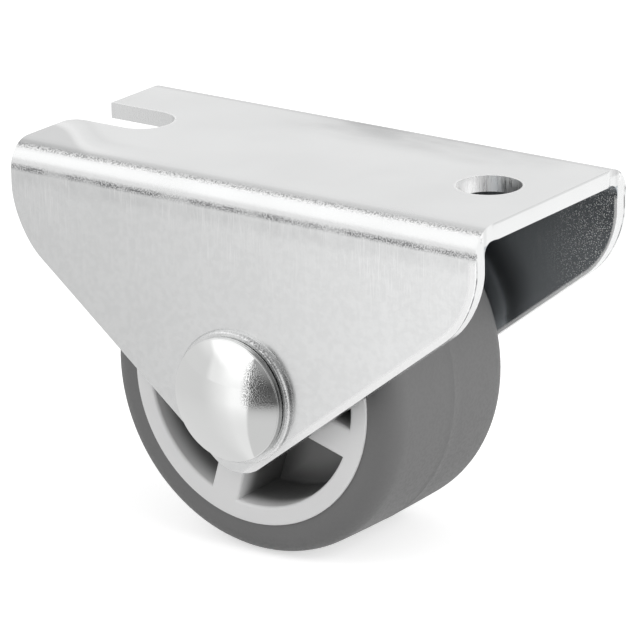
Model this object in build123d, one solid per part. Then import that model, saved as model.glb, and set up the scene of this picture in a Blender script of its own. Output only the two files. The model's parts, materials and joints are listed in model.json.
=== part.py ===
"""A fixed box caster for furniture: a folded steel housing, an axle rivet and a plastic wheel with a soft tyre.

The mounting face is the top of the housing's web. The origin lies on it, at the middle of the housing. X runs
along the housing towards the round screw hole, Y along the axle away from the rivet's domed head, and Z points up.
All lengths are millimetres.
"""

import os
from math import asin, cos, sin

from build123d import *

# Tyre and wheel centre
wheel_radius = 15.0
tyre_width = 17.1
tyre_thickness = 3.0
tyre_shoulder = 2.0
tread_crown = 0.1
rim_stand_out = 0.2
ring_wall = 1.65
hub_radius = 4.7
hub_stand_out = 0.25
hub_edge = 0.3
spoke_count = 4
spoke_width = 2.8
spoke_angle = -16.3
pocket_depth = 6.3
pocket_corner = 0.3
pocket_lip = 0.2

# Folded housing
sheet = 1.4
bend_radius = 2.4
housing_length = 47.8
side_clearance = 0.95
near_clearance = 0.33
top_clearance = 2.2
plate_corner_drop = 7.55
plate_corner_radius = 7.9
plate_tip_drop = 7.86
plate_tip_radius = 3.7
web_tab = 0.2
edge_roll = 0.2

# Screw hole and open slot in the web
hole_radius = 2.75
hole_inset = 6.2
hole_spacing = 36.0
slot_near_corner = 1.4

# Axle rivet and the pressed collars that it sits on
axle_offset = -0.48
shank_radius = 2.5
running_clearance = 0.05
hole_clearance = 0.03
head_radius = 5.4
head_band = 0.65
head_edge = 0.15
head_dome = 1.6
head_gap = 0.12
head_seat = 1.0
closing_radius = 3.9
closing_height = 1.3
closing_edge = 0.5
collar_height = 0.5
collar_margin = 0.15
collar_slope = 0.32
collar_lean = 0.3

# Worked out from the sizes above
rim_radius = wheel_radius - tyre_thickness
ring_inner_radius = rim_radius - ring_wall
rim_half_width = tyre_width / 2 + rim_stand_out
hub_half_length = rim_half_width + hub_stand_out
inner_half_width = hub_half_length + side_clearance
half_width = inner_half_width + sheet
half_length = housing_length / 2
axle_drop = wheel_radius + top_clearance + sheet
wheel_y = near_clearance - side_clearance
hole_x = half_length - hole_inset
slot_x = hole_x - hole_spacing
collar_top_radius = head_radius + collar_margin
collar_base_radius = collar_top_radius + collar_slope
collar_face = half_width + collar_height

axle_centre = (axle_offset, 0, -axle_drop)
axle_line = Axis(axle_centre, (0, 1, 0))
# Local x is along the axle and local y is the radius
turning_plane = Plane(origin=axle_centre, x_dir=(0, 1, 0), z_dir=(1, 0, 0))
# Local x and y are the row's X and Z, seen from the domed head
side_plane = Plane(origin=axle_centre, x_dir=(1, 0, 0), z_dir=(0, -1, 0))
channel_plane = Plane(origin=(0, 0, 0), x_dir=(0, 1, 0), z_dir=(1, 0, 0))
# Radii closer than this count as equal
same_size = 1e-4


def turned(*outline):
    """Turns a closed outline of lines and curves about the axle."""
    return revolve(turning_plane * make_face(outline), axle_line)


def ring(start, end, inner, outer):
    """A plain ring about the axle, from start to end along it."""
    outline = Polyline((start, inner), (end, inner), (end, outer), (start, outer), close=True)
    return turned(outline)


def disc(start, end, radius):
    """A solid disc about the axle, from start to end along it."""
    return ring(start, end, 0, radius)


def rims(body, radius):
    """The round edges of a turned body that have this radius."""
    return [e for e in body.edges().filter_by(GeomType.CIRCLE) if abs(e.radius - radius) < same_size]


def channel_blank():
    """The bent sheet before its sides are trimmed: a web with a plate down each side."""
    depth = axle_drop + plate_tip_drop
    outer = Rectangle(2 * half_width, depth, align=(Align.CENTER, Align.MAX))
    outer = fillet(outer.vertices().group_by(Axis.Y)[-1], bend_radius)
    inner = Pos(0, -sheet) * Rectangle(2 * inner_half_width, depth, align=(Align.CENTER, Align.MAX))
    inner = fillet(inner.vertices().group_by(Axis.Y)[-1], bend_radius - sheet)
    return extrude(channel_plane * (outer - inner), half_length + web_tab, both=True)


def plate_outline():
    """The side plate: square at the top, round lower corners and slants down to a rounded tip under the axle."""
    corner_x = half_length
    corner_z = axle_drop - plate_corner_drop
    corners = [
        (-corner_x - axle_offset, axle_drop),
        (corner_x - axle_offset, axle_drop),
        (corner_x - axle_offset, corner_z),
        (0, -plate_tip_drop),
        (-corner_x - axle_offset, corner_z),
    ]
    face = make_face(Polyline(*corners, close=True))
    face = fillet(face.vertices().sort_by(Axis.Y)[0], plate_tip_radius)
    below_top = face.vertices().group_by(Axis.Y)[-2]
    return fillet(below_top, plate_corner_radius)


def rolled_edges(folded):
    """The outer edges of both side plates, which run on over the bends and along the web's ends."""
    plates = folded.faces().filter_by(Axis.Y).sort_by(Axis.Y)
    edges = plates[0].edges() + plates[-1].edges()
    return edges.sort_by(Axis.Z)[:-2]


def web_tab_blank():
    """The flat part of the web between the bends, which stands out a little at the hole's end."""
    width = 2 * (half_width - bend_radius)
    return Pos(half_length, 0, -sheet / 2) * Box(2 * web_tab, width, sheet)


def slot_outline():
    """The open slot, with a round inner end and its near corner eased at the mouth."""
    mouth = -half_length - web_tab
    slot = Pos(slot_x, 0) * Circle(hole_radius)
    run = Pos((slot_x + mouth) / 2, 0) * Rectangle(slot_x - mouth, 2 * hole_radius)
    corner = Pos(-half_length, -hole_radius - slot_near_corner) * Rectangle(
        slot_near_corner, slot_near_corner, align=(Align.MIN, Align.MIN)
    )
    ease = Pos(-half_length + slot_near_corner, -hole_radius - slot_near_corner) * Circle(slot_near_corner)
    return slot + run + (corner - ease)


def collar(side):
    """The pressed collar round the axle on one side plate, and the hollow behind it; side is -1 or 1."""
    base = side * half_width
    top = side * collar_face
    foot = (base, collar_base_radius)
    rise = Spline(foot, (top, collar_top_radius), tangents=((side, -collar_lean), (0, -1)))
    raised = turned(rise, Polyline((top, collar_top_radius), (top, 0), (base, 0), foot))
    mouth = side * inner_half_width
    floor = side * (inner_half_width + collar_height)
    hollow_radius = collar_top_radius - sheet / 2
    lip = (mouth, collar_top_radius)
    dip = Spline(lip, (floor, hollow_radius), tangents=((0, -1), (0, -1)))
    hollow = turned(dip, Polyline((floor, hollow_radius), (floor, 0), (mouth, 0), lip))
    return raised, hollow


def make_housing():
    """The folded sheet with its collars, axle holes, screw hole and slot."""
    plates = extrude(side_plane * plate_outline(), 2 * half_width, both=True)
    folded = channel_blank() & plates
    housing = fillet(rolled_edges(folded), edge_roll)
    housing += web_tab_blank()
    for side in (-1, 1):
        raised, hollow = collar(side)
        housing = housing + raised - hollow
    housing -= disc(-2 * half_width, 2 * half_width, shank_radius + hole_clearance)
    housing -= Pos(hole_x, 0, 0) * Cylinder(hole_radius, 4 * sheet)
    housing -= extrude(slot_outline(), 2 * sheet, both=True)
    return housing


def make_rivet():
    """The domed head, its neck and shank, and the closing head on the far side, in one piece."""
    near_seat = -collar_face
    under_head = near_seat - head_gap
    band_top = under_head - head_band
    dome_radius = (head_radius**2 + head_dome**2) / (2 * head_dome)
    dome_centre = band_top - head_dome + dome_radius
    half_tilt = asin(head_radius / dome_radius) / 2
    halfway = (dome_centre - dome_radius * cos(half_tilt), dome_radius * sin(half_tilt))
    bulk = turned(
        Polyline((under_head, 0), (under_head, head_radius), (band_top, head_radius)),
        ThreePointArc((band_top, head_radius), halfway, (band_top - head_dome, 0)),
        Line((band_top - head_dome, 0), (under_head, 0)),
    )
    head = fillet(rims(bulk, head_radius), head_edge)
    neck = disc(under_head, near_seat, head_radius - head_seat)
    shank = disc(near_seat, collar_face, shank_radius)
    closing = disc(collar_face, collar_face + closing_height, closing_radius)
    closing = fillet(closing.edges().filter_by(GeomType.CIRCLE).sort_by(Axis.Y)[-1], closing_edge)
    return head + neck + shank + closing


def pocket_outline():
    """The openings between the hub and the outer ring, one between each pair of spokes."""
    openings = Circle(ring_inner_radius) - Circle(hub_radius)
    for i in range(spoke_count):
        turn = spoke_angle + i * 360 / spoke_count
        openings -= Rot(0, 0, turn) * Rectangle(rim_radius, spoke_width, align=(Align.MIN, Align.CENTER))
    return fillet(openings.vertices(), pocket_corner)


def make_wheel_centre():
    """Hub, spokes and outer ring round a web in the middle, open on both sides."""
    ring_body = disc(wheel_y - rim_half_width, wheel_y + rim_half_width, rim_radius)
    outline = pocket_outline()
    for side in (-1, 1):
        face = side * rim_half_width
        # The side plane's normal points to -Y
        start = -(wheel_y + face)
        pocket = extrude(side_plane * (Pos(0, 0, start) * outline), side * pocket_depth)
        ring_body -= pocket
    faces = ring_body.faces().filter_by(Axis.Y).sort_by(Axis.Y)
    mouths = [e for face in (faces[0], faces[-1]) for wire in face.inner_wires() for e in wire.edges()]
    ring_body = fillet(mouths, pocket_lip)
    hub = disc(wheel_y - hub_half_length, wheel_y + hub_half_length, hub_radius)
    hub = fillet(rims(hub, hub_radius), hub_edge)
    bore = disc(wheel_y - rim_radius, wheel_y + rim_radius, shank_radius + running_clearance)
    return ring_body + hub - bore


def make_tyre():
    """A soft band with flat walls, round shoulders and a slightly crowned tread."""
    low = wheel_y - tyre_width / 2
    high = wheel_y + tyre_width / 2
    edge = wheel_radius - tread_crown
    body = turned(
        Polyline((low, edge), (low, rim_radius), (high, rim_radius), (high, edge)),
        ThreePointArc((high, edge), (wheel_y, wheel_radius), (low, edge)),
    )
    return fillet(rims(body, edge), tyre_shoulder)


nodes = {
    "housing": make_housing(),
    "axle_rivet": make_rivet(),
    "wheel_centre": make_wheel_centre(),
    "tyre": make_tyre(),
}

os.makedirs("parts", exist_ok=True)
for name, solid in nodes.items():
    export_step(solid, f"parts/{name}.step")
    print(name, round(solid.volume, 2), "mm3")
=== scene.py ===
"""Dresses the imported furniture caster: shapes its pieces, gives them their finishes and sets the stage."""

import json
import math
from types import SimpleNamespace

import bpy
from mathutils import Matrix, Vector

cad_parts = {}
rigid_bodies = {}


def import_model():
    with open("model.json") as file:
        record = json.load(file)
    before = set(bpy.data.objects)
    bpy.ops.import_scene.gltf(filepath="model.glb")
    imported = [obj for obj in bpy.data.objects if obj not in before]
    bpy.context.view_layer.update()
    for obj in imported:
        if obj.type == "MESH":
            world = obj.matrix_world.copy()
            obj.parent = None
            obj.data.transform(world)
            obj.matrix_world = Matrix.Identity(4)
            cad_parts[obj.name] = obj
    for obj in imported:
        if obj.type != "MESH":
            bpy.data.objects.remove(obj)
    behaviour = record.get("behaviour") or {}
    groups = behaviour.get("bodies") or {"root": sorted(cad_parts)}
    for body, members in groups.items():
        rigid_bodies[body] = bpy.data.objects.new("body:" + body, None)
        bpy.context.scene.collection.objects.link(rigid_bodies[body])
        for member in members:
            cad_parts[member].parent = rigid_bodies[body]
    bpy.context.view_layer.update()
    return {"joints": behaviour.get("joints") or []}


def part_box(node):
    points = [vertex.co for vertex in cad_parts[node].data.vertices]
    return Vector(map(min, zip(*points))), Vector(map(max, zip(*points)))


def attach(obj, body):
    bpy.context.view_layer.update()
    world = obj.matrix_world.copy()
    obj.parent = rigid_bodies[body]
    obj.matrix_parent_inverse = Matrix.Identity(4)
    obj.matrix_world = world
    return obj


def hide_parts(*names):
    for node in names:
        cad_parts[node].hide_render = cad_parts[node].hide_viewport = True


bl_info = {
    "name": "Furniture Caster",
    "version": (1, 0, 0),
    "blender": (4, 5, 0),
    "location": "3D View > Sidebar > Caster",
    "description": "Builds a fixed furniture caster over its CAD frame, with its finishes and a studio stage",
    "category": "Add Mesh",
}

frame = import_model()
MM = 0.001
TINY = 1e-6
# How far a cutting shape runs past what it cuts
PAST = 2 * MM

RIVET_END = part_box("axle_rivet")[1].y
WHEEL_LOW, WHEEL_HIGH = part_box("wheel_centre")
TYRE_LOW, TYRE_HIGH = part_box("tyre")
AXLE = Vector(frame["joints"][0]["pos_m"])
WHEEL_Y = (TYRE_LOW.y + TYRE_HIGH.y) / 2
RIM_RADIUS = (WHEEL_HIGH.x - WHEEL_LOW.x) / 2
TURN_SEGMENTS = 128


# Sizes and colours that a user may change

def length_setting(name, description, millimetres):
    return bpy.props.FloatProperty(
        name=name, description=description, default=millimetres * MM, subtype="DISTANCE", unit="LENGTH"
    )


def angle_setting(name, description, degrees):
    return bpy.props.FloatProperty(
        name=name, description=description, default=math.radians(degrees), subtype="ANGLE", unit="ROTATION"
    )


def colour_setting(name, description, colour):
    return bpy.props.FloatVectorProperty(name=name, description=description, default=colour, subtype="COLOR")


def level_setting(name, description, level):
    return bpy.props.FloatProperty(name=name, description=description, default=level)


class HousingSettings(bpy.types.PropertyGroup):
    sheet: length_setting("Sheet", "Thickness of the folded sheet", 1.4)
    bend_radius: length_setting("Bend radius", "Outside radius of the two long bends", 2.4)
    length: length_setting("Plate length", "Length of the side plates along the top", 47.8)
    width: length_setting("Width", "Width over both side plates", 22.7)
    corner_drop: length_setting(
        "Corner drop", "From the mounting face down to the plate's corner before it is rounded", 7.55
    )
    corner_radius: length_setting("Corner radius", "Radius of the plate's lower corners", 7.9)
    tip_drop: length_setting("Tip drop", "From the axle down to the plate's tip before it is rounded", 7.86)
    tip_radius: length_setting("Tip radius", "Radius of the plate's tip", 3.7)
    web_tab: length_setting("Web tab", "How far the web stands out past the plates at the hole's end", 0.2)
    hole_radius: length_setting("Hole radius", "Radius of the screw hole and half the slot's width", 2.75)
    hole_inset: length_setting("Hole inset", "From the plates' end to the hole's centre", 6.2)
    hole_spacing: length_setting(
        "Hole spacing", "From the hole's centre to the centre of the slot's round end", 36
    )
    slot_corner: length_setting("Slot corner", "Radius of the near corner at the slot's mouth", 1.4)
    collar_height: length_setting("Collar height", "How far the pressed collars stand out", 0.5)
    collar_radius: length_setting("Collar radius", "Radius of the collar's flat top", 5.55)
    collar_slope: length_setting("Collar slope", "Width of the collar's slope", 0.32)
    edge_roll: length_setting("Edge roll", "Rounding that the punch leaves along the cut edges", 0.28)
    colour: colour_setting("Zinc", "Colour of the zinc plate", (0.80, 0.805, 0.805))


class RivetSettings(bpy.types.PropertyGroup):
    shank_radius: length_setting("Shank radius", "Radius of the shank that the wheel turns on", 2.5)
    head_radius: length_setting("Head radius", "Radius of the domed head", 5.4)
    head_band: length_setting("Head band", "Height of the straight band round the head", 0.65)
    head_dome: length_setting("Head dome", "Height of the dome above the band", 1.6)
    head_edge: length_setting("Head edge", "Rounding of both edges of the band", 0.12)
    head_gap: length_setting("Head gap", "Gap between the head's rim and the collar", 0.12)
    neck_radius: length_setting("Neck radius", "Radius that the head rests on", 4.4)
    closing_radius: length_setting("Closing radius", "Radius of the closing head", 3.9)
    closing_edge: length_setting("Closing edge", "Rounding of the closing head's edge", 0.5)
    colour: colour_setting("Zinc", "Colour of the rivet's bright plate", (0.85, 0.855, 0.85))


class WheelSettings(bpy.types.PropertyGroup):
    ring_wall: length_setting("Ring wall", "Width of the outer ring's face", 1.65)
    hub_radius: length_setting("Hub radius", "Outside radius of the hub", 4.7)
    hub_stand_out: length_setting("Hub stand-out", "How far the hub stands out past the ring", 0.25)
    bore_radius: length_setting("Bore radius", "Radius of the bore", 2.55)
    spoke_count: bpy.props.IntProperty(name="Spokes", description="Number of spokes", default=4)
    spoke_width: length_setting("Spoke width", "Width of a spoke", 2.8)
    spoke_angle: angle_setting("Spoke angle", "Angle of the first spoke from the X axis", -16.3)
    pocket_depth: length_setting("Pocket depth", "Depth of the openings between the spokes", 6.3)
    pocket_draft: length_setting("Pocket draft", "How much the pockets narrow towards their floor", 0.12)
    lip: length_setting("Lip", "Rounding of the pockets' mouths", 0.3)
    edge: length_setting("Moulded edge", "Rounding of the other moulded edges", 0.1)
    root: length_setting("Root", "Rounding where the pockets' walls meet their floor", 0.35)
    colour: colour_setting("Plastic", "Colour of the wheel centre", (0.77, 0.77, 0.77))


class TyreSettings(bpy.types.PropertyGroup):
    shoulder: length_setting("Shoulder", "Radius of the tyre's shoulders", 2.0)
    crown: length_setting("Crown", "How much the tread rises in the middle", 0.1)
    parting_width: length_setting("Parting width", "Width of the parting line's ridge", 0.22)
    parting_height: length_setting("Parting height", "Height of the parting line's ridge", 0.03)
    colour: colour_setting("Rubber", "Colour of the soft tyre", (0.165, 0.165, 0.165))


class StageSettings(bpy.types.PropertyGroup):
    azimuth: angle_setting("Azimuth", "Camera's turn round the caster", 35.95)
    elevation: angle_setting("Elevation", "Camera's height above the horizon", 18.52)
    roll: angle_setting("Roll", "Camera's turn about its own line of sight", -1.03)
    position: bpy.props.FloatVectorProperty(
        name="Position", description="Where the camera stands", default=(0.240564, -0.332295, 0.122671),
        subtype="TRANSLATION", unit="LENGTH",
    )
    lens: level_setting("Lens", "Focal length on a 36 mm sensor, in millimetres", 284.9)
    shift: bpy.props.FloatVectorProperty(
        name="Shift", description="Lens shift that frames the caster as photographed",
        default=(0.0098, -0.0036), size=2,
    )
    world_level: level_setting("World level", "Strength of the soft light from all round", 0.6)
    key_level: level_setting("Key level", "Brightness of the large softbox in front", 1.3)
    fill_level: level_setting("Fill level", "Brightness of the softbox at the side", 2.8)


# Small tools for shaping

def only(thing):
    """Selects one object alone and makes it active."""
    for other in bpy.context.view_layer.objects:
        other.select_set(False)
    thing.select_set(True)
    bpy.context.view_layer.objects.active = thing


def edit(thing, kind="FACE"):
    only(thing)
    bpy.ops.object.mode_set(mode="EDIT")
    bpy.ops.mesh.select_mode(type=kind)
    bpy.ops.mesh.select_all(action="DESELECT")


def leave_edit():
    bpy.ops.object.mode_set(mode="OBJECT")


def pick(thing, kind, test):
    """Enters edit mode with only those faces, edges or vertices selected that pass the test."""
    edit(thing, kind)
    leave_edit()
    mesh = thing.data
    items = {"FACE": mesh.polygons, "EDGE": mesh.edges, "VERT": mesh.vertices}[kind]
    for item in items:
        item.select = bool(test(item))
    bpy.ops.object.mode_set(mode="EDIT")


def ends(thing, edge):
    return [thing.data.vertices[i].co for i in edge.vertices]


def middle(thing, edge):
    a, b = ends(thing, edge)
    return (a + b) / 2


def settle(thing):
    """Brings a shape's place into its mesh, so that the object sits at the origin."""
    only(thing)
    bpy.ops.object.transform_apply(location=True, rotation=True, scale=True)


def tidy_mesh(thing, threshold=TINY):
    edit(thing, "VERT")
    bpy.ops.mesh.select_all(action="SELECT")
    bpy.ops.mesh.remove_doubles(threshold=threshold)
    bpy.ops.mesh.normals_make_consistent(inside=False)
    leave_edit()


def block(name, low, high):
    """A rectangular starting block between two corners."""
    low, high = Vector(low), Vector(high)
    bpy.ops.mesh.primitive_cube_add(size=1, location=(low + high) / 2)
    thing = bpy.context.object
    thing.name = name
    thing.scale = high - low
    settle(thing)
    return thing


def scale_ring(factor, along):
    if abs(factor - 1) > 1e-9:
        bpy.ops.transform.resize(value=(factor, 1, factor), center_override=(AXLE.x, along, AXLE.z))


def turned(name, stations, closed=False):
    """Turns a row of (place along the axle, radius) stations about the axle, ring by ring."""
    along, radius = stations[0]
    now = max(radius, MM)
    bpy.ops.mesh.primitive_circle_add(
        vertices=TURN_SEGMENTS, radius=now, fill_type="NOTHING",
        location=(AXLE.x, along, AXLE.z), rotation=(math.pi / 2, 0, 0),
    )
    thing = bpy.context.object
    thing.name = name
    settle(thing)
    bpy.ops.object.mode_set(mode="EDIT")
    bpy.ops.mesh.select_mode(type="EDGE")
    bpy.ops.mesh.select_all(action="SELECT")
    if radius < MM:
        scale_ring(max(radius, TINY) / now, along)
        now = max(radius, TINY)
    for next_along, next_radius in list(stations[1:]) + ([stations[0]] if closed else []):
        bpy.ops.mesh.extrude_region_move(TRANSFORM_OT_translate={"value": (0, next_along - along, 0)})
        next_radius = max(next_radius, TINY)
        scale_ring(next_radius / now, next_along)
        along, now = next_along, next_radius
    leave_edit()
    tidy_mesh(thing, 2.5 * TINY)
    return thing


def rounded(start, corner, end, steps=6):
    """Stations of a quarter round that leads from start to end past a corner."""
    rows = []
    for i in range(steps + 1):
        turn = math.radians(90) * i / steps
        from_start, from_end = 1 - math.sin(turn), 1 - math.cos(turn)
        station = [c + from_start * (a - c) + from_end * (b - c) for a, c, b in zip(start, corner, end)]
        rows.append(tuple(station))
    return rows


def combine(thing, other, how):
    """Joins, cuts or trims one shape by another, which is used up."""
    only(thing)
    modifier = thing.modifiers.new(how.title(), "BOOLEAN")
    modifier.operation = how
    modifier.solver = "EXACT"
    modifier.object = other
    bpy.ops.object.modifier_apply(modifier=modifier.name)
    used = other.data
    bpy.data.objects.remove(other)
    bpy.data.meshes.remove(used)


def round_edges(thing, test, radius, steps):
    """Rounds the picked edges to a true radius, whatever angle they have."""
    faces_at = {}
    for face in thing.data.polygons:
        for key in face.edge_keys:
            faces_at.setdefault(key, []).append(face.normal.copy())
    places_by_turn = {}
    for edge in thing.data.edges:
        if test(thing, edge):
            first, second = faces_at[edge.key]
            turn = round(first.angle(second), 4)
            places_by_turn.setdefault(turn, []).append(middle(thing, edge))
    if not places_by_turn:
        raise RuntimeError(f"no edge of {thing.name} was found to round")
    for turn, places in places_by_turn.items():
        pick(thing, "EDGE", lambda e: any((middle(thing, e) - place).length < 10 * TINY for place in places))
        bpy.ops.mesh.bevel(
            offset=radius * math.tan(turn / 2), offset_type="OFFSET", segments=steps, profile=0.5,
            affect="EDGES",
        )
        leave_edit()


def soften(thing, width, steps=3, angle=math.radians(40)):
    """A small rounding along every edge that turns by more than the angle."""
    only(thing)
    modifier = thing.modifiers.new("Soft edge", "BEVEL")
    modifier.limit_method = "ANGLE"
    modifier.angle_limit = angle
    modifier.width = width
    modifier.segments = steps
    modifier.use_clamp_overlap = True
    modifier.miter_outer = "MITER_ARC"
    bpy.ops.object.modifier_apply(modifier=modifier.name)


def complete(thing, body, node, finish):
    """Smooths a piece, gives it its finish and seats it in the frame in place of its CAD node."""
    tidy_mesh(thing)
    only(thing)
    bpy.ops.object.shade_smooth_by_angle(angle=math.radians(35), keep_sharp_edges=False)
    thing.data.materials.clear()
    thing.data.materials.append(finish)
    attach(thing, body)
    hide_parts(node)
    return thing


# Finishes

class Value:
    """A node's output. A sum, difference or product with it adds a node."""

    def __init__(self, socket):
        self.socket = socket
        self.tree = socket.id_data

    def __add__(self, other):
        return maths("ADD", self, other)

    def __sub__(self, other):
        return maths("SUBTRACT", self, other)

    def __rsub__(self, other):
        return maths("SUBTRACT", other, self)

    def __mul__(self, other):
        return maths("MULTIPLY", self, other)

    def __abs__(self):
        return maths("ABSOLUTE", self)

    __radd__ = __add__
    __rmul__ = __mul__


def feed(value, socket):
    """Links a node's output to a socket, or sets the socket to a plain value."""
    if isinstance(value, Value):
        value.tree.links.new(value.socket, socket)
    else:
        socket.default_value = value


def maths(operation, first, second=0.0):
    tree = first.tree if isinstance(first, Value) else second.tree
    node = tree.nodes.new("ShaderNodeMath")
    node.operation = operation
    feed(first, node.inputs[0])
    feed(second, node.inputs[1])
    return Value(node.outputs[0])


def distance(first, second):
    """How far a point lies from the origin of two coordinates."""
    return maths("SQRT", first * first + second * second)


def ramp(value, low, high, start=0.0, end=1.0):
    """A smooth step from start to end while the value goes from low to high."""
    node = value.tree.nodes.new("ShaderNodeMapRange")
    node.interpolation_type = "SMOOTHSTEP"
    for label, given in (("From Min", low), ("From Max", high), ("To Min", start), ("To Max", end)):
        node.inputs[label].default_value = given
    feed(value, node.inputs["Value"])
    return Value(node.outputs["Result"])


def fall(value, low, high):
    """A smooth step down from 1 to 0 while the value goes from low to high."""
    return ramp(value, low, high, 1.0, 0.0)


def band(value, low, high, soft):
    """1 between low and high, and 0 outside, with soft ends."""
    return ramp(value, low - soft, low + soft) * fall(value, high - soft, high + soft)


def noise(place, scale, detail=2.0, stretch=None):
    """Soft noise from 0 to 1, with its own scale along each axis where it is stretched."""
    node = place.tree.nodes.new("ShaderNodeTexNoise")
    feed(scale, node.inputs["Scale"])
    feed(detail, node.inputs["Detail"])
    if stretch:
        spread = place.tree.nodes.new("ShaderNodeVectorMath")
        spread.operation = "MULTIPLY"
        spread.inputs[1].default_value = stretch
        feed(place, spread.inputs[0])
        place = Value(spread.outputs[0])
    feed(place, node.inputs["Vector"])
    return Value(node.outputs["Fac"])


def mixed(amount, first, second, kind="FLOAT"):
    """What goes from the first to the second as the amount goes from 0 to 1."""
    node = amount.tree.nodes.new("ShaderNodeMix")
    node.data_type = kind
    for label, given in (("Factor", amount), ("A", first), ("B", second)):
        feed(given, node.inputs[label])
    return Value(node.outputs["Result"])


def tinted(colour, amount, tint):
    """A colour blended towards a plain tint by this amount."""
    return mixed(amount, colour, (*tint, 1), "RGBA")


def split(place):
    node = place.tree.nodes.new("ShaderNodeSeparateXYZ")
    feed(place, node.inputs[0])
    return [Value(socket) for socket in node.outputs]


def new_group(name, inputs, outputs):
    """A node group, with its inputs as values and its outputs as sockets, both by name."""
    group = bpy.data.node_groups.new(name, "ShaderNodeTree")
    for label, kind, default in inputs:
        socket = group.interface.new_socket(name=label, in_out="INPUT", socket_type="NodeSocket" + kind)
        if default is not None:
            socket.default_value = default
    for label, kind in outputs:
        group.interface.new_socket(name=label, in_out="OUTPUT", socket_type="NodeSocket" + kind)
    given = group.nodes.new("NodeGroupInput").outputs
    result = group.nodes.new("NodeGroupOutput").inputs
    return group, {label: Value(given[label]) for label, *_ in inputs}, result


def grain_group():
    """Fine grain: a height for a bump and a mask of its specks."""
    if "Fine grain" in bpy.data.node_groups:
        return bpy.data.node_groups["Fine grain"]
    group, given, result = new_group(
        "Fine grain", [("Vector", "Vector", None), ("Scale", "Float", 6000.0), ("Detail", "Float", 2.0)],
        [("Height", "Float"), ("Specks", "Float")],
    )
    height = noise(given["Vector"], given["Scale"], given["Detail"])
    feed(height, result["Height"])
    feed(ramp(height, 0.42, 0.62), result["Specks"])
    return group


def drift_group():
    """Slow colour drift: the colour darkened a little in soft clouds."""
    if "Colour drift" in bpy.data.node_groups:
        return bpy.data.node_groups["Colour drift"]
    group, given, result = new_group(
        "Colour drift",
        [
            ("Vector", "Vector", None), ("Colour", "Color", (0.7, 0.7, 0.7, 1)), ("Scale", "Float", 120.0),
            ("Amount", "Float", 0.06),
        ],
        [("Colour", "Color"), ("Cloud", "Float")],
    )
    cloud = noise(given["Vector"], given["Scale"], 3.0)
    feed(tinted(given["Colour"], cloud * given["Amount"], (0.1, 0.1, 0.1)), result["Colour"])
    feed(cloud, result["Cloud"])
    return group


def place_group(group, place, **values):
    """Adds a node group, and gives its outputs as values by name."""
    node = place.tree.nodes.new("ShaderNodeGroup")
    node.node_tree = group
    feed(place, node.inputs["Vector"])
    for label, value in values.items():
        node.inputs[label].default_value = value
    return {socket.name: Value(socket) for socket in node.outputs}


def base_material(name, colour):
    """A material with its shader, the place on the piece and a preview colour."""
    material = bpy.data.materials.new(name)
    material.use_nodes = True
    material.diffuse_color = (*colour, 1)
    nodes = material.node_tree.nodes
    place = nodes.new("ShaderNodeTexCoord").outputs["Object"]
    return material, nodes["Principled BSDF"], Value(place)


def start_finish(name, colour, drift_scale, drift_amount, grain_scale, grain_detail):
    """A material with its shader, the place on the piece, and its slow colour drift and fine grain."""
    material, shader, place = base_material(name, colour)
    drift = place_group(drift_group(), place, Colour=(*colour, 1), Scale=drift_scale, Amount=drift_amount)
    grain = place_group(grain_group(), place, Scale=grain_scale, Detail=grain_detail)
    return material, shader, place, drift, grain


def add_bump(shader, height, depth):
    bump = height.tree.nodes.new("ShaderNodeBump")
    bump.inputs["Strength"].default_value = 1.0
    bump.inputs["Distance"].default_value = depth
    feed(height, bump.inputs["Height"])
    feed(Value(bump.outputs["Normal"]), shader.inputs["Normal"])


def places(place):
    """The three coordinates, and how far a point lies across, above and away from the axle."""
    x, y, z = split(place)
    across, upward = x - AXLE.x, z - AXLE.z
    return SimpleNamespace(
        place=place, x=x, y=y, z=z, across=across, upward=upward, reach=distance(across, upward)
    )


def outline_distance(at, s):
    """How far a point lies inside the plate's outline at the hole's end, as a negative distance."""
    depth = -AXLE.z + s.tip_drop
    along = Vector((s.length / 2 - AXLE.x, depth - s.corner_drop)).normalized()
    out = Vector((along.y, -along.x))
    to_x = at.x - (s.length / 2 - s.corner_radius)
    to_z = at.z - (s.corner_radius * (1 - out.x) / -out.y - s.corner_drop)
    past_line = maths("MAXIMUM", to_x, to_x * out.x + to_z * out.y)
    in_arc = maths("LESS_THAN", to_z, 0.0) * maths("GREATER_THAN", to_x * along.x + to_z * along.y, 0.0)
    return mixed(in_arc, past_line, distance(to_x, to_z)) - s.corner_radius


def sheet_places(place, s):
    """Where a point lies on the housing, with the lengths and faces that the masks below share."""
    at = places(place)
    at.side = abs(at.y)
    at.half_width = s.width / 2
    at.half_length = s.length / 2
    at.bend_start = at.half_width - s.bend_radius
    at.on_face = ramp(at.side, at.half_width - s.edge_roll, at.half_width)
    at.inside = (
        fall(at.side, at.half_width - s.sheet, at.half_width - 0.9 * s.sheet)
        * fall(at.z, -1.2 * s.sheet, -1.1 * s.sheet)
    )
    return at


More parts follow.
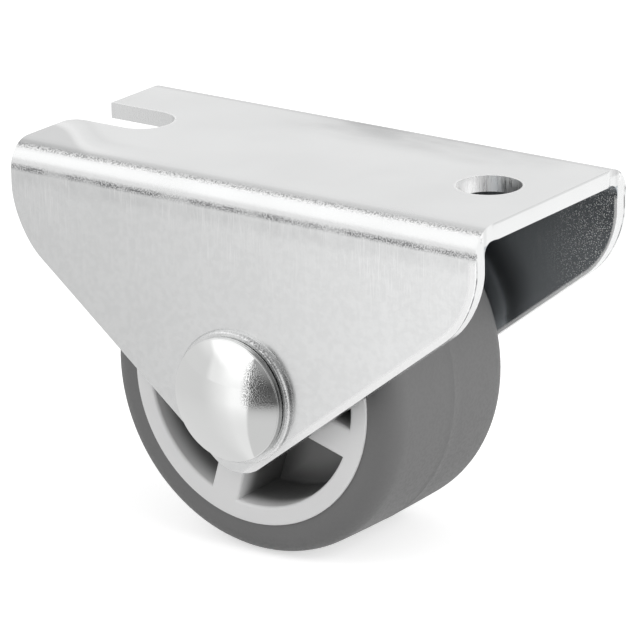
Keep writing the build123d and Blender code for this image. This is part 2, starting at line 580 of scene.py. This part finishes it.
def bend_masks(at, s):
    """The long bends: a broken dark line of painted shade with softer painted shade below, a white edge for
    painted highlight and shade specks with painted shade above it, and painted shade along the far bend.
    """
    start, foot = at.bend_start, -s.bend_radius
    on_bend = ramp(at.side, start - 0.1 * MM, start + 0.5 * MM) * ramp(at.z, foot - 0.5 * MM, foot + 0.2 * MM)
    fade = ramp(noise(at.place, 330.0, 2.0), 0.35, 0.6, 0.45, 1.0)
    coarse = ramp(noise(at.place, 7500.0, 3.0), 0.43, 0.55)
    # Painted shade: a broken dark line along the foot of each bend
    dark_line = (
        band(at.z, foot - 0.02 * MM, foot + 0.46 * MM, 0.2 * MM) * fade * (coarse * 0.8 + 0.2)
        * ramp(at.side, at.half_width - 0.4 * MM, at.half_width - 0.2 * MM)
    )
    # Painted shade: softer shade below that line
    below = (
        band(at.z, foot - 1.3 * MM, foot - 0.1 * MM, 0.5 * MM) * fade
        * ramp(at.side, at.half_width - 0.1 * MM, at.half_width - 0.05 * MM)
    )
    return SimpleNamespace(
        on_bend=on_bend, dark_line=dark_line, below=below,
        white_edge=band(at.side, start + 1.25 * MM, start + 1.6 * MM, 0.2 * MM)
        * ramp(at.z, -1.3 * MM, -1.1 * MM),
        # Painted shade just above the white edge, and along the far bend
        above_white=band(at.side, start + 0.75 * MM, start + 1.1 * MM, 0.25 * MM) * on_bend,
        far=ramp(at.y, start - 0.4 * MM, start + 0.5 * MM) * ramp(at.z, -0.8 * MM, -0.5 * MM),
    )


def opening_masks(at, s):
    """The punched walls of the screw hole and the slot, with painted highlights along their rims and painted
    light and shade on the hole's wall.
    """
    from_hole = at.x - (at.half_length - s.hole_inset)
    hole_reach = distance(from_hole, at.y)
    slot_reach = distance(maths("MAXIMUM", from_hole + s.hole_spacing, 0.0), at.y)
    wall = s.hole_radius + 0.03 * MM
    rim = s.hole_radius + s.edge_roll
    in_hole = fall(hole_reach, wall, wall + 0.07 * MM)
    from_rim = maths("MINIMUM", hole_reach, slot_reach)
    return SimpleNamespace(
        in_hole=in_hole, in_slot=fall(slot_reach, wall, wall + 0.07 * MM),
        # Painted highlight: a bright line along the rims
        rim_light=band(from_rim, wall + 0.06 * MM, rim - 0.12 * MM, 0.05 * MM)
        * ramp(at.z, -0.4 * MM, -0.3 * MM),
        # Painted shade and painted light across the hole's wall
        dark=in_hole * ramp(from_hole, 0.5 * MM, 2.2 * MM),
        light=in_hole * ramp(from_hole, 0.2 * MM, -2 * MM),
    )


def cut_edge_masks(at, s):
    """The plates' cut edge at the hole's end: a painted highlight strip on both of its faces, and a broken
    dark line of painted shade.
    """
    inset = outline_distance(at, s)
    on_plate = ramp(at.z, -s.bend_radius, -s.bend_radius - 0.6 * MM) * ramp(at.x, -4 * MM, 0)
    line = at.half_width - s.edge_roll
    broken = ramp(noise(at.place, 900.0, 3.0), 0.35, 0.55, 0.3, 1.0)
    return SimpleNamespace(
        # Painted highlight strips along the rolled cut edge, and a broken line of painted shade beside it
        outer=ramp(inset, -0.75 * MM, -0.4 * MM) * on_plate * at.on_face,
        inner=ramp(inset, -0.38 * MM, -0.2 * MM) * at.inside * on_plate,
        painted_dark_edge_line=band(at.side, line - 0.08 * MM, line + 0.1 * MM, 0.05 * MM) * on_plate * broken,
    )


def web_masks(at):
    """Tones on the web: a painted sheen between fields of painted shade at the slot's end, and the far part
    darker in soft clouds.
    """
    off_streak = at.y - ramp(at.x, -at.half_length, -16 * MM, -4.6 * MM, -9.3 * MM)
    near_end = fall(at.x, -20 * MM, -9 * MM) * ramp(at.z, -0.9 * MM, -0.4 * MM)
    clouds = ramp(noise(at.place, 1.0, 3.0, stretch=(90, 200, 90)), 0.36, 0.62, 0.3, 1.0)
    # The far part of the web darker in soft clouds
    far_clouds_darker = (
        clouds * ramp(at.z, -0.6 * MM, -0.3 * MM) * ramp(at.y, 3 * MM, at.bend_start)
        * band(at.x, -6 * MM, 17 * MM, 5 * MM)
    )
    return SimpleNamespace(
        # Painted sheen, with painted shade before and beyond it
        painted_sheen=band(off_streak, -0.45 * MM, 0.35 * MM, 0.6 * MM) * near_end,
        before=fall(off_streak, -1.2 * MM, -0.4 * MM) * near_end,
        beyond=band(off_streak, 1.6 * MM, 2.6 * MM, 0.8 * MM) * near_end,
        far_clouds_darker=far_clouds_darker,
    )


def collar_masks(at, grain, s):
    """The pressed collars' flanks: all round, and on the right a speckled painted shade with a painted
    highlight.
    """
    around = (
        ramp(at.side, at.half_width - 0.01 * MM, at.half_width + 0.05 * MM)
        * band(at.reach, s.collar_radius, s.collar_radius + s.collar_slope, 0.15 * MM)
    )
    right = around * ramp(at.x, -1 * MM, 2 * MM)
    above = at.side - at.half_width
    upper = ramp(at.z, AXLE.z + 2.2 * MM, AXLE.z + 3.8 * MM)
    low_dark, high_dark = ramp(above, 0.28 * MM, 0.2 * MM), ramp(above, 0.14 * MM, 0.22 * MM)
    low_shine = band(above, 0.26 * MM, 0.42 * MM, 0.06 * MM)
    high_shine = band(above, 0.02 * MM, 0.12 * MM, 0.04 * MM)
    return SimpleNamespace(
        around=around,
        # Painted shade in specks, and a painted highlight band, on the right of each collar
        dark=right * (grain["Specks"] * 0.6 + 0.1) * mixed(upper, low_dark, high_dark),
        shine=right * ramp(grain["Height"], 0.35, 0.55, 0.35, 1.0) * mixed(upper, low_shine, high_shine),
    )


def sparkle_mask(at):
    """Small painted glints inside the housing, towards the hole's end: bright matt dots."""
    dots = at.place.tree.nodes.new("ShaderNodeTexVoronoi")
    dots.inputs["Scale"].default_value = 8000.0
    feed(at.place, dots.inputs["Vector"])
    some = ramp(Value(dots.outputs["Color"]), 0.4, 0.65)
    near_end = at.inside * ramp(at.x, 14 * MM, at.half_length)
    return fall(Value(dots.outputs["Distance"]), 0.22, 0.46) * some * near_end


def zinc_sheet_material(s):
    """Bright zinc plate on pressed sheet: satin where it is flat, grainy where it was bent or pressed, with
    painted shade, highlights and glints laid into its colour.
    """
    material, shader, place, drift, grain = start_finish(
        "zinc_plated_sheet", s.colour, drift_scale=90.0, drift_amount=0.10,
        grain_scale=6500.0, grain_detail=2.0,
    )
    shader.inputs["Metallic"].default_value = 1.0
    at = sheet_places(place, s)
    bend = bend_masks(at, s)
    opening = opening_masks(at, s)
    cut = cut_edge_masks(at, s)
    web = web_masks(at)
    collar = collar_masks(at, grain, s)
    sparkle = sparkle_mask(at)

    streaks = noise(place, 1.0, 2.0, stretch=(6500, 6500, 420))
    drawn = (
        ramp(streaks, 0.48, 0.72) * ramp(noise(place, 240.0, 2.0), 0.3, 0.6) * ramp(at.z, -12 * MM, -3 * MM)
        * fall(at.z, -s.bend_radius, -s.bend_radius + 0.3 * MM)
    )
    torn = ramp(streaks, 0.35, 0.65) * (opening.in_hole + opening.in_slot * 0.3)
    mottle = ramp(noise(place, 1800.0, 3.0), 0.35, 0.65) * at.on_face
    # Painted highlight specks in the white edge, and painted shade specks between them
    painted_highlight_specks = bend.white_edge * ramp(grain["Height"], 0.48, 0.54)
    painted_shade_specks = bend.white_edge * ramp(grain["Height"], 0.48, 0.4)

    # Painted shade at the bends, openings, cut edge, web and collars, with the plate's own faint mottle and
    # the darker far clouds on the web
    shade = (
        bend.dark_line * 0.8 + bend.far * 0.25 + bend.above_white * 0.13 + bend.below * 0.09
        + painted_shade_specks * 0.3 + opening.dark * 0.6 + web.before * 0.18 + web.beyond * 0.1 + web.far_clouds_darker * 0.42
        + collar.dark * 0.85 + cut.painted_dark_edge_line + mottle * 0.045
    )
    # Painted light: highlights and sheen at the bends, openings, cut edge, web and collars, with the sheet's
    # lighter drawn and torn streaks
    light = (
        drawn * 0.28 + web.painted_sheen * 0.45 + torn * 0.3 + painted_highlight_specks * 0.8 + opening.rim_light * 0.7
        + opening.light * 0.6 + opening.in_slot * 0.3 + collar.shine * 0.8 + cut.outer * 0.8 + cut.inner
    )
    colour = tinted(drift["Colour"], shade, (0.08, 0.08, 0.085))
    # Painted shade: the inside of the channel darkened towards a dark blue-grey
    colour = tinted(colour, at.inside * 0.42, (0.04, 0.10, 0.155))
    colour = tinted(colour, light, (0.95, 0.95, 0.95))
    # Painted glints go in last
    feed(tinted(colour, sparkle, (0.9, 0.9, 0.88)), shader.inputs["Base Color"])

    # The painted highlights and glints are made matt, not metal
    matt = (
        sparkle + collar.shine * 0.55 + cut.outer * 0.6 + cut.inner * 0.8 + opening.rim_light * 0.6
        + opening.light * 0.36 + painted_highlight_specks * 0.56
    )
    feed(1.0 - matt, shader.inputs["Metallic"])
    rough = (
        ramp(drift["Cloud"], 0.3, 0.7, 0.2, 0.27) - bend.on_bend * 0.04 - bend.white_edge * 0.12 + torn * 0.2
        + grain["Specks"] * (bend.on_bend * 0.06 + collar.around * 0.15)
    )
    feed(rough, shader.inputs["Roughness"])
    raised = bend.on_bend * 0.1 + bend.white_edge * 0.35 + collar.around * 0.7 + 0.06
    add_bump(shader, grain["Height"] * raised + drawn * 0.04 + torn * 0.08, 0.04 * MM)
    return material


def rivet_material(s):
    """Bright plate on the headed rivet, close to a mirror; a frosted patch with painted shade specks on the
    dome's right, and painted shade on the band.
    """
    material, shader, place, drift, grain = start_finish(
        "zinc_plated_rivet", s.colour, drift_scale=160.0, drift_amount=0.08,
        grain_scale=9500.0, grain_detail=1.0,
    )
    shader.inputs["Metallic"].default_value = 1.0
    at = places(place)
    rim = s.head_radius
    # Frosted patch on the dome's right: rougher and bumped, and its colour darkened in specks as painted
    # shade
    frosted_and_painted_shade = (
        ramp(at.across, 2.2 * MM, 2.9 * MM) * band(at.upward, 0.5 * MM, 3.8 * MM, 0.7 * MM) * grain["Specks"]
        * fall(at.reach, rim - 0.4 * MM, rim - 0.2 * MM)
    )
    # Painted shade: the side of the head's band darkened towards the right
    painted_band_shade = ramp(at.reach, rim - 0.05 * MM, rim - 0.02 * MM) * ramp(at.across, 0.5 * MM, 3.5 * MM)
    colour = tinted(drift["Colour"], painted_band_shade * 0.4 + frosted_and_painted_shade * 0.5, (0.1, 0.1, 0.1))
    feed(colour, shader.inputs["Base Color"])
    feed(ramp(drift["Cloud"], 0.3, 0.7, 0.045, 0.08) + frosted_and_painted_shade * 0.06, shader.inputs["Roughness"])
    add_bump(shader, grain["Height"] * (frosted_and_painted_shade * 0.32 + 0.02), 0.02 * MM)
    return material


def plastic_material(s):
    """Satin moulded plastic, with painted shade down in the pockets, less of it in the open middle of their
    floor.
    """
    material, shader, place, drift, grain = start_finish(
        "wheel_plastic", s.colour, drift_scale=200.0, drift_amount=0.05, grain_scale=4000.0, grain_detail=3.0
    )
    shader.inputs["Specular IOR Level"].default_value = 0.4
    at = places(place)
    from_middle = abs(at.y - WHEEL_Y)
    face = WHEEL_HIGH.y - WHEEL_Y - s.hub_stand_out
    floor = face - s.pocket_depth
    cosine, sine = math.cos(s.spoke_angle), math.sin(s.spoke_angle)
    along = abs(at.across * cosine + at.upward * sine)
    aside = abs(at.upward * cosine - at.across * sine)
    from_spoke = maths("MINIMUM", along, aside) - s.spoke_width / 2
    room = maths("MINIMUM", from_spoke, RIM_RADIUS - s.ring_wall - at.reach)
    # Painted shade in the pockets: deepest near the walls and at their foot, lighter where the floor is open
    open_floor = (
        ramp(from_middle, floor + 0.5 * MM, floor + 0.02 * MM) * ramp(room, 0.1 * MM, 2.6 * MM, -0.04, 0.42)
    )
    painted_pocket_shade = ramp(from_middle, face - 2.6 * MM, face - 0.3 * MM, 0.85, 0.0) * (1.0 - open_floor)
    feed(tinted(drift["Colour"], painted_pocket_shade, (0.1, 0.1, 0.1)), shader.inputs["Base Color"])
    feed(ramp(grain["Specks"], 0.0, 1.0, 0.40, 0.5), shader.inputs["Roughness"])
    add_bump(shader, grain["Height"], 0.004 * MM)
    return material


def tyre_material(s):
    """Matt soft thermoplastic with a faint scuffed grain."""
    material, shader, _, drift, grain = start_finish(
        "tyre", s.colour, drift_scale=150.0, drift_amount=0.12, grain_scale=3500.0, grain_detail=3.0
    )
    shader.inputs["Specular IOR Level"].default_value = 0.35
    feed(drift["Colour"], shader.inputs["Base Color"])
    feed(ramp(grain["Specks"], 0.0, 1.0, 0.5, 0.62), shader.inputs["Roughness"])
    add_bump(shader, grain["Height"], 0.008 * MM)
    return material


# Pieces

def folded_sheet(s):
    """The folded channel with untrimmed plates: a web on top and a plate down each side."""
    half_length, half_width = s.length / 2, s.width / 2
    inner = half_width - s.sheet
    depth = -AXLE.z + s.tip_drop

    def long_top_edge(thing, edge):
        a, b = ends(thing, edge)
        top = max(v.co.z for v in thing.data.vertices)
        return abs(a.x - b.x) > half_length and min(a.z, b.z) > top - TINY

    housing = block(
        "caster_housing", (-half_length - PAST, -half_width, -depth - PAST),
        (half_length + PAST, half_width, 0),
    )
    round_edges(housing, long_top_edge, s.bend_radius, steps=14)
    room = block(
        "room", (-half_length - 2 * PAST, -inner, -depth - 2 * PAST),
        (half_length + 2 * PAST, inner, -s.sheet),
    )
    round_edges(room, long_top_edge, s.bend_radius - s.sheet, steps=10)
    combine(housing, room, "DIFFERENCE")
    return housing


def trim_plates(housing, s):
    """Cuts the plates to their outline, with round lower corners and slants down to a round tip."""
    half_length, half_width = s.length / 2, s.width / 2
    depth = -AXLE.z + s.tip_drop
    outline = block(
        "outline", (-half_length, -half_width - PAST, -s.corner_drop), (half_length, half_width + PAST, PAST)
    )
    pick(outline, "FACE", lambda f: f.normal.z < -0.5)
    bpy.ops.mesh.extrude_region_move(TRANSFORM_OT_translate={"value": (0, 0, s.corner_drop - depth)})
    bpy.ops.transform.resize(value=(0, 1, 1), center_override=(AXLE.x, 0, -depth))
    leave_edit()
    tidy_mesh(outline)
    for drop, radius in ((s.corner_drop, s.corner_radius), (depth, s.tip_radius)):

        def crosswise_edge(thing, edge):
            a, b = ends(thing, edge)
            return abs(a.y - b.y) > half_width and abs(a.z + drop) < TINY

        round_edges(outline, crosswise_edge, radius, steps=28)
    combine(housing, outline, "INTERSECT")


def collar_stations(face, out, radius, slope, foot, crisp):
    """From the collar's flat top down to the plate: a round bead where it is crisp, or else a soft S."""
    rows = [(face + out, 0), (face + out, radius)]
    steps = 10
    for i in range(1, steps + 1):
        part = i / steps
        if crisp:
            turn = math.radians(90) * part
            rows.append((face + out * math.cos(turn), radius + slope * math.sin(turn)))
        else:
            rows.append((face + out * (1 + math.cos(math.pi * part)) / 2, radius + slope * part))
    return rows + [(foot, radius + slope), (foot, 0)]


def press_collars(housing, s):
    """Raises a collar round the axle on each plate, with the hollow that the press leaves behind it."""
    for side in (-1, 1):
        out = side * s.collar_height
        face = side * s.width / 2
        bead = collar_stations(
            face, out, s.collar_radius, s.collar_slope, face - side * s.sheet / 2, crisp=True
        )
        combine(housing, turned("raised", bead), "UNION")
        face = side * (s.width / 2 - s.sheet)
        dip = collar_stations(
            face, out, s.collar_radius - s.sheet / 2, s.sheet / 2, face - side * MM, crisp=False
        )
        combine(housing, turned("hollow", dip), "DIFFERENCE")


def punch(housing, s, shank):
    """Punches the axle holes, the screw hole and the open slot with its eased near corner."""
    half_length = s.length / 2
    bore = turned("bore", [(-s.width, 0), (-s.width, shank), (s.width, shank), (s.width, 0)])
    combine(housing, bore, "DIFFERENCE")

    hole_x = half_length - s.hole_inset
    bpy.ops.mesh.primitive_cylinder_add(
        vertices=96, radius=s.hole_radius, depth=4 * s.sheet, location=(hole_x, 0, -s.sheet / 2)
    )
    drill = bpy.context.object
    settle(drill)
    combine(housing, drill, "DIFFERENCE")

    slot_end = hole_x - s.hole_spacing + s.hole_radius
    slot = block(
        "slot", (-half_length - 1.5 * PAST, -s.hole_radius, -3 * s.sheet),
        (slot_end, s.hole_radius, 2 * s.sheet),
    )

    def slot_end_edge(thing, edge):
        a, b = ends(thing, edge)
        return abs(a.z - b.z) > s.sheet and min(a.x, b.x) > slot_end - TINY

    round_edges(slot, slot_end_edge, s.hole_radius * 0.999, steps=24)
    combine(housing, slot, "DIFFERENCE")

    def mouth_corner(thing, edge):
        a, b = ends(thing, edge)
        corner = Vector((-half_length, -s.hole_radius, -s.sheet / 2))
        return abs(a.z - b.z) > s.sheet * 0.9 and (middle(thing, edge) - corner).length < 0.1 * MM

    round_edges(housing, mouth_corner, s.slot_corner, steps=16)


def add_web_tab(housing, s):
    """Adds the strip by which the web stands out past the plates, a little narrower at its end."""
    half_length, half_width = s.length / 2, s.width / 2
    narrowing = 1.6 * MM
    tab = block(
        "tab", (half_length - 0.1 * s.web_tab, s.bend_radius - half_width, -s.sheet + TINY),
        (half_length + s.web_tab, half_width - s.bend_radius, -TINY),
    )
    pick(tab, "FACE", lambda f: f.normal.x > 0.5)
    bpy.ops.transform.resize(
        value=(1, 1 - narrowing / (s.width - 2 * s.bend_radius), 1),
        center_override=(half_length + s.web_tab, 0, 0),
    )
    leave_edit()
    soften(tab, s.web_tab * 0.4)
    combine(housing, tab, "UNION")


class CASTER_OT_housing(bpy.types.Operator):
    """Folds and punches the housing from one sheet"""

    bl_idname = "caster.housing"
    bl_label = "Housing"

    def execute(self, context):
        s = context.scene.caster_housing
        housing = folded_sheet(s)
        trim_plates(housing, s)
        press_collars(housing, s)
        punch(housing, s, context.scene.caster_rivet.shank_radius)
        soften(housing, s.edge_roll)
        add_web_tab(housing, s)
        complete(housing, "frame", "housing", zinc_sheet_material(s))
        return {"FINISHED"}


class CASTER_OT_rivet(bpy.types.Operator):
    """Turns the axle rivet with its domed head and closing head"""

    bl_idname = "caster.rivet"
    bl_label = "Axle rivet"

    def execute(self, context):
        s = context.scene.caster_rivet
        h = context.scene.caster_housing
        seat = h.width / 2 + h.collar_height
        under = -seat - s.head_gap
        band_top = under - s.head_band
        sphere = (s.head_radius**2 + s.head_dome**2) / (2 * s.head_dome)
        # The dome stops just short of the rim, where the band's rounded edge begins
        last_tilt = math.asin(s.head_radius / sphere) * 0.98
        steps = 24
        tilts = [last_tilt * i / steps for i in range(steps + 1)]
        stations = [
            (band_top - s.head_dome + sphere * (1 - math.cos(tilt)), sphere * math.sin(tilt))
            for tilt in tilts
        ]
        stations += rounded(
            (band_top, s.head_radius - s.head_edge), (band_top, s.head_radius),
            (band_top + s.head_edge, s.head_radius),
        )
        stations += rounded(
            (under - s.head_edge, s.head_radius), (under, s.head_radius),
            (under, s.head_radius - s.head_edge), steps=4,
        )
        stations += [
            (under, s.neck_radius), (-seat, s.neck_radius), (-seat, s.shank_radius), (seat, s.shank_radius),
            (seat, s.closing_radius),
        ]
        stations += rounded(
            (RIVET_END - s.closing_edge, s.closing_radius), (RIVET_END, s.closing_radius),
            (RIVET_END, s.closing_radius - s.closing_edge), steps=8,
        )
        rivet = turned("caster_axle_rivet", stations + [(RIVET_END, 0)])
        complete(rivet, "frame", "axle_rivet", rivet_material(s))
        return {"FINISHED"}


def moulded_side(s, face, hub_face, inward):
    """Stations over one side of the wheel centre: ring, pocket floor and hub, down to the bore."""
    ring = RIM_RADIUS - s.ring_wall
    hub, bore = s.hub_radius, s.bore_radius
    ring_foot = ring - s.pocket_draft
    hub_foot = hub + s.pocket_draft
    floor = face + inward * s.pocket_depth
    wall = floor - inward * s.root
    corners = (
        ((face + inward * s.edge, RIM_RADIUS), (face, RIM_RADIUS), (face, RIM_RADIUS - s.edge)),
        ((face, ring + s.lip), (face, ring), (face + inward * s.lip, ring)),
        ((wall, ring_foot), (floor, ring_foot), (floor, ring_foot - s.root)),
        ((floor, hub_foot + s.root), (floor, hub_foot), (wall, hub_foot)),
        ((hub_face + inward * s.lip, hub), (hub_face, hub), (hub_face, hub - s.lip)),
        ((hub_face, bore + s.edge), (hub_face, bore), (hub_face + inward * s.edge, bore)),
    )
    return [station for corner in corners for station in rounded(*corner)]


class CASTER_OT_wheel_centre(bpy.types.Operator):
    """Moulds the hub, spokes and outer ring"""

    bl_idname = "caster.wheel_centre"
    bl_label = "Wheel centre"

    def execute(self, context):
        s = context.scene.caster_wheel
        hub_half = (WHEEL_HIGH.y - WHEEL_LOW.y) / 2
        rim_half = hub_half - s.hub_stand_out
        low, high = WHEEL_Y - rim_half, WHEEL_Y + rim_half
        rows = moulded_side(s, high, WHEEL_Y + hub_half, -1)
        rows += reversed(moulded_side(s, low, WHEEL_Y - hub_half, 1))
        centre = turned("caster_wheel_centre", rows, closed=True)

        # The spokes run a little way into the hub and the ring
        spoke = block(
            "spoke", (s.hub_radius - 0.6 * MM, low, -s.spoke_width / 2),
            (RIM_RADIUS - s.ring_wall + s.lip + 0.3 * MM, high, s.spoke_width / 2),
        )

        def long_edge(thing, edge):
            a, b = ends(thing, edge)
            return abs(a.x - b.x) > MM

        round_edges(spoke, long_edge, s.lip, steps=6)
        for i in range(s.spoke_count):
            only(spoke)
            bpy.ops.object.duplicate()
            copy = bpy.context.object
            copy.location = (AXLE.x, 0, AXLE.z)
            copy.rotation_euler = (0, -(s.spoke_angle + i * math.tau / s.spoke_count), 0)
            settle(copy)
            combine(centre, copy, "UNION")
        bpy.data.objects.remove(spoke)
        complete(centre, "wheel", "wheel_centre", plastic_material(s))
        return {"FINISHED"}


class CASTER_OT_tyre(bpy.types.Operator):
    """Turns the soft tyre with its shoulders and parting line"""

    bl_idname = "caster.tyre"
    bl_label = "Tyre"

    def execute(self, context):
        s = context.scene.caster_tyre
        low, high = TYRE_LOW.y, TYRE_HIGH.y
        outer = (TYRE_HIGH.x - TYRE_LOW.x) / 2 - s.parting_height
        edge = outer - s.crown
        shoulder = rounded((low, edge - s.shoulder), (low, edge), (low + s.shoulder, edge), steps=10)
        half = (high - low) / 2 - s.shoulder
        steps = 6
        crown = [
            (WHEEL_Y + half * i / steps, outer - s.crown * (i / steps) ** 2)
            for i in range(1 - steps, steps) if i
        ]
        parting = [
            (WHEEL_Y - s.parting_width / 2, outer), (WHEEL_Y, outer + s.parting_height),
            (WHEEL_Y + s.parting_width / 2, outer),
        ]
        other_shoulder = [(2 * WHEEL_Y - along, radius) for along, radius in reversed(shoulder)]
        tread = sorted(crown + parting)
        stations = [(low, RIM_RADIUS), *shoulder, *tread, *other_shoulder, (high, RIM_RADIUS)]
        tyre = turned("caster_tyre", stations, closed=True)
        complete(tyre, "wheel", "tyre", tyre_material(s))
        return {"FINISHED"}


# Stage

def towards(turn, lift):
    """The direction that lies this far round from the front and this far above the horizon."""
    return Vector((math.sin(turn) * math.cos(lift), -math.cos(turn) * math.cos(lift), math.sin(lift)))


def softbox(name, turn, lift, size, level):
    """A soft lamp that faces the caster; metal mirrors the studio in the world instead."""
    lamp_distance = 0.7
    way = towards(math.radians(turn), math.radians(lift))
    data = bpy.data.lights.new(name, "AREA")
    data.shape = "RECTANGLE"
    data.size, data.size_y = size
    data.energy = level * math.pi * size[0] * size[1]
    light = bpy.data.objects.new(name, data)
    bpy.context.scene.collection.objects.link(light)
    light.location = way * lamp_distance
    light.rotation_euler = (-way).to_track_quat("-Z", "Y").to_euler()
    light.visible_camera = False
    light.visible_glossy = False


def round_place(place, ahead=0.0):
    """Degrees round from the front, the distance from an upright line this far ahead, and the height."""
    x, y, z = split(place)
    back = y + ahead
    return maths("ARCTAN2", x, back * -1.0) * (180 / math.pi), distance(x, back), z


def show_mix(amount, first, second, output):
    """Sends two shaders to an output's surface, mixed by this amount."""
    mix = amount.tree.nodes.new("ShaderNodeMixShader")
    feed(amount, mix.inputs[0])
    feed(Value(first.outputs[0]), mix.inputs[1])
    feed(Value(second.outputs[0]), mix.inputs[2])
    feed(Value(mix.outputs[0]), output.inputs["Surface"])


def ray_kinds(tree):
    """Whether a ray comes from the camera, a mirror or clear matter."""
    path = tree.nodes.new("ShaderNodeLightPath")
    return [Value(path.outputs[name]) for name in ("Is Camera Ray", "Is Glossy Ray", "Is Transmission Ray")]


def floor_material():
    """White floor that keeps the caster's shadow; metal sees it as pale and dark cards round the caster."""
    material, shader, place = base_material("floor_white", (1, 1, 1))
    shader.inputs["Base Color"].default_value = (0.8, 0.8, 0.8, 1)
    shader.inputs["Roughness"].default_value = 1.0
    shader.inputs["Specular IOR Level"].default_value = 0.0
    shader.inputs["Emission Color"].default_value = (1, 1, 1, 1)
    camera, glossy, _ = ray_kinds(place.tree)
    feed(camera * 0.55, shader.inputs["Emission Strength"])

    turn, reach, _ = round_place(place, ahead=13 * MM)
    rise = ramp(turn, -56, -12, 0.0, 0.33) + ramp(turn, -28, -14, 0.0, 0.1)
    pale = rise + ramp(turn, -170, -130, 0.3, 0.0) + 0.74
    pale = mixed(ramp(reach, 15 * MM, 60 * MM, 0.7, 0.0), pale, 0.82)
    dark = ramp(reach, 22 * MM, 90 * MM, 0.7, 0.13)
    cards = place.tree.nodes.new("ShaderNodeEmission")
    feed(mixed(ramp(turn, 0, 4) * fall(turn, 62, 100), pale, dark), cards.inputs["Strength"])
    show_mix(glossy, shader, cards, place.tree.nodes["Material Output"])
    return material


def make_world(scene, level):
    """Soft light from all round, on white; metal sees a studio with a tall softbox and grey cards."""
    world = bpy.data.worlds.new("studio")
    world.use_nodes = True
    scene.world = world
    tree = world.node_tree
    soft = tree.nodes["Background"]
    soft.inputs["Color"].default_value = (1, 1, 1, 1)
    soft.inputs["Strength"].default_value = level
    white = tree.nodes.new("ShaderNodeBackground")
    white.inputs["Color"].default_value = (1, 1, 1, 1)

    place = tree.nodes.new("ShaderNodeTexCoord").outputs["Generated"]
    turn, reach, height = round_place(Value(place))
    lift = maths("ARCTAN2", height, reach) * (180 / math.pi)
    left_card = ramp(turn, -135, -115) * fall(turn, -50, -40) * fall(lift, 10, 26)
    studio = mixed(left_card, 0.96, 0.76)
    gap = band(turn, -112, -72, 10) * ramp(lift, 38, 50)
    studio = mixed(gap, studio, 0.66)
    spread = turn + ramp(lift, 12, 34, 0.0, 48.0)
    key = ramp(spread, -38, -15) * fall(turn, 0, 2) * fall(lift, 58, 70)
    studio = mixed(key, studio, ramp(lift, 0, 18, 1.12, 1.3))
    right_card = ramp(turn, 0, 2) * fall(turn, 55, 90)
    studio = mixed(right_card, studio, ramp(lift, 2, 26, 0.1, 0.38) + ramp(lift, 40, 75, 0.0, 0.4))

    camera, glossy, clear = ray_kinds(tree)
    feed(mixed(glossy, 1.0, studio), white.inputs["Strength"])
    seen = maths("MAXIMUM", maths("MAXIMUM", camera, glossy), clear)
    show_mix(seen, soft, white, tree.nodes["World Output"])


def add_floor():
    bpy.ops.mesh.primitive_circle_add(vertices=96, radius=3, fill_type="NGON", location=(0, 0, TYRE_LOW.z))
    floor = bpy.context.object
    floor.name = "floor"
    settle(floor)
    floor.data.materials.append(floor_material())


def add_camera(scene, s):
    data = bpy.data.cameras.new("camera")
    data.lens = s.lens
    data.sensor_width = 36
    data.shift_x, data.shift_y = s.shift
    data.clip_start = 0.01
    data.clip_end = 10
    camera = bpy.data.objects.new("camera", data)
    scene.collection.objects.link(camera)
    back = towards(s.azimuth, s.elevation)
    right = Vector((0, 0, 1)).cross(back).normalized()
    up = back.cross(right)
    turn = Matrix.Rotation(s.roll, 3, back)
    axes = Matrix((turn @ right, turn @ up, back)).transposed()
    camera.matrix_world = Matrix.Translation(s.position) @ axes.to_4x4()
    scene.camera = camera


class CASTER_OT_stage(bpy.types.Operator):
    """Sets the pale floor, the soft lights and the camera"""

    bl_idname = "caster.stage"
    bl_label = "Stage"

    def execute(self, context):
        s = context.scene.caster_stage
        context.scene.view_settings.view_transform = "Standard"
        add_floor()
        make_world(context.scene, s.world_level)
        softbox("key_softbox", -36, 32, (0.60, 0.60), s.key_level)
        softbox("fill_softbox", 95, 25, (0.60, 0.50), s.fill_level)
        add_camera(context.scene, s)
        return {"FINISHED"}


class CASTER_PT_panel(bpy.types.Panel):
    """Lists the caster's pieces and their sizes"""

    bl_idname = "CASTER_PT_panel"
    bl_label = "Furniture Caster"
    bl_space_type = "VIEW_3D"
    bl_region_type = "UI"
    bl_category = "Caster"

    def draw(self, context):
        for operator, settings in PANEL_ROWS:
            box = self.layout.box()
            box.operator(operator)
            group = getattr(context.scene, settings)
            for key in group.bl_rna.properties.keys():
                if key not in ("rna_type", "name"):
                    box.prop(group, key)


PANEL_ROWS = (
    ("caster.housing", "caster_housing"),
    ("caster.rivet", "caster_rivet"),
    ("caster.wheel_centre", "caster_wheel"),
    ("caster.tyre", "caster_tyre"),
    ("caster.stage", "caster_stage"),
)
SETTINGS = {
    "caster_housing": HousingSettings,
    "caster_rivet": RivetSettings,
    "caster_wheel": WheelSettings,
    "caster_tyre": TyreSettings,
    "caster_stage": StageSettings,
}
OPERATORS = (CASTER_OT_housing, CASTER_OT_rivet, CASTER_OT_wheel_centre, CASTER_OT_tyre, CASTER_OT_stage)


def register():
    for cls in (*SETTINGS.values(), *OPERATORS, CASTER_PT_panel):
        bpy.utils.register_class(cls)
    for name, cls in SETTINGS.items():
        setattr(bpy.types.Scene, name, bpy.props.PointerProperty(type=cls))


def unregister():
    for name in SETTINGS:
        delattr(bpy.types.Scene, name)
    for cls in (CASTER_PT_panel, *reversed(OPERATORS), *reversed(tuple(SETTINGS.values()))):
        bpy.utils.unregister_class(cls)


def main():
    register()
    bpy.ops.caster.housing()
    bpy.ops.caster.rivet()
    bpy.ops.caster.wheel_centre()
    bpy.ops.caster.tyre()
    bpy.ops.caster.stage()


if __name__ == "__main__":
    main()
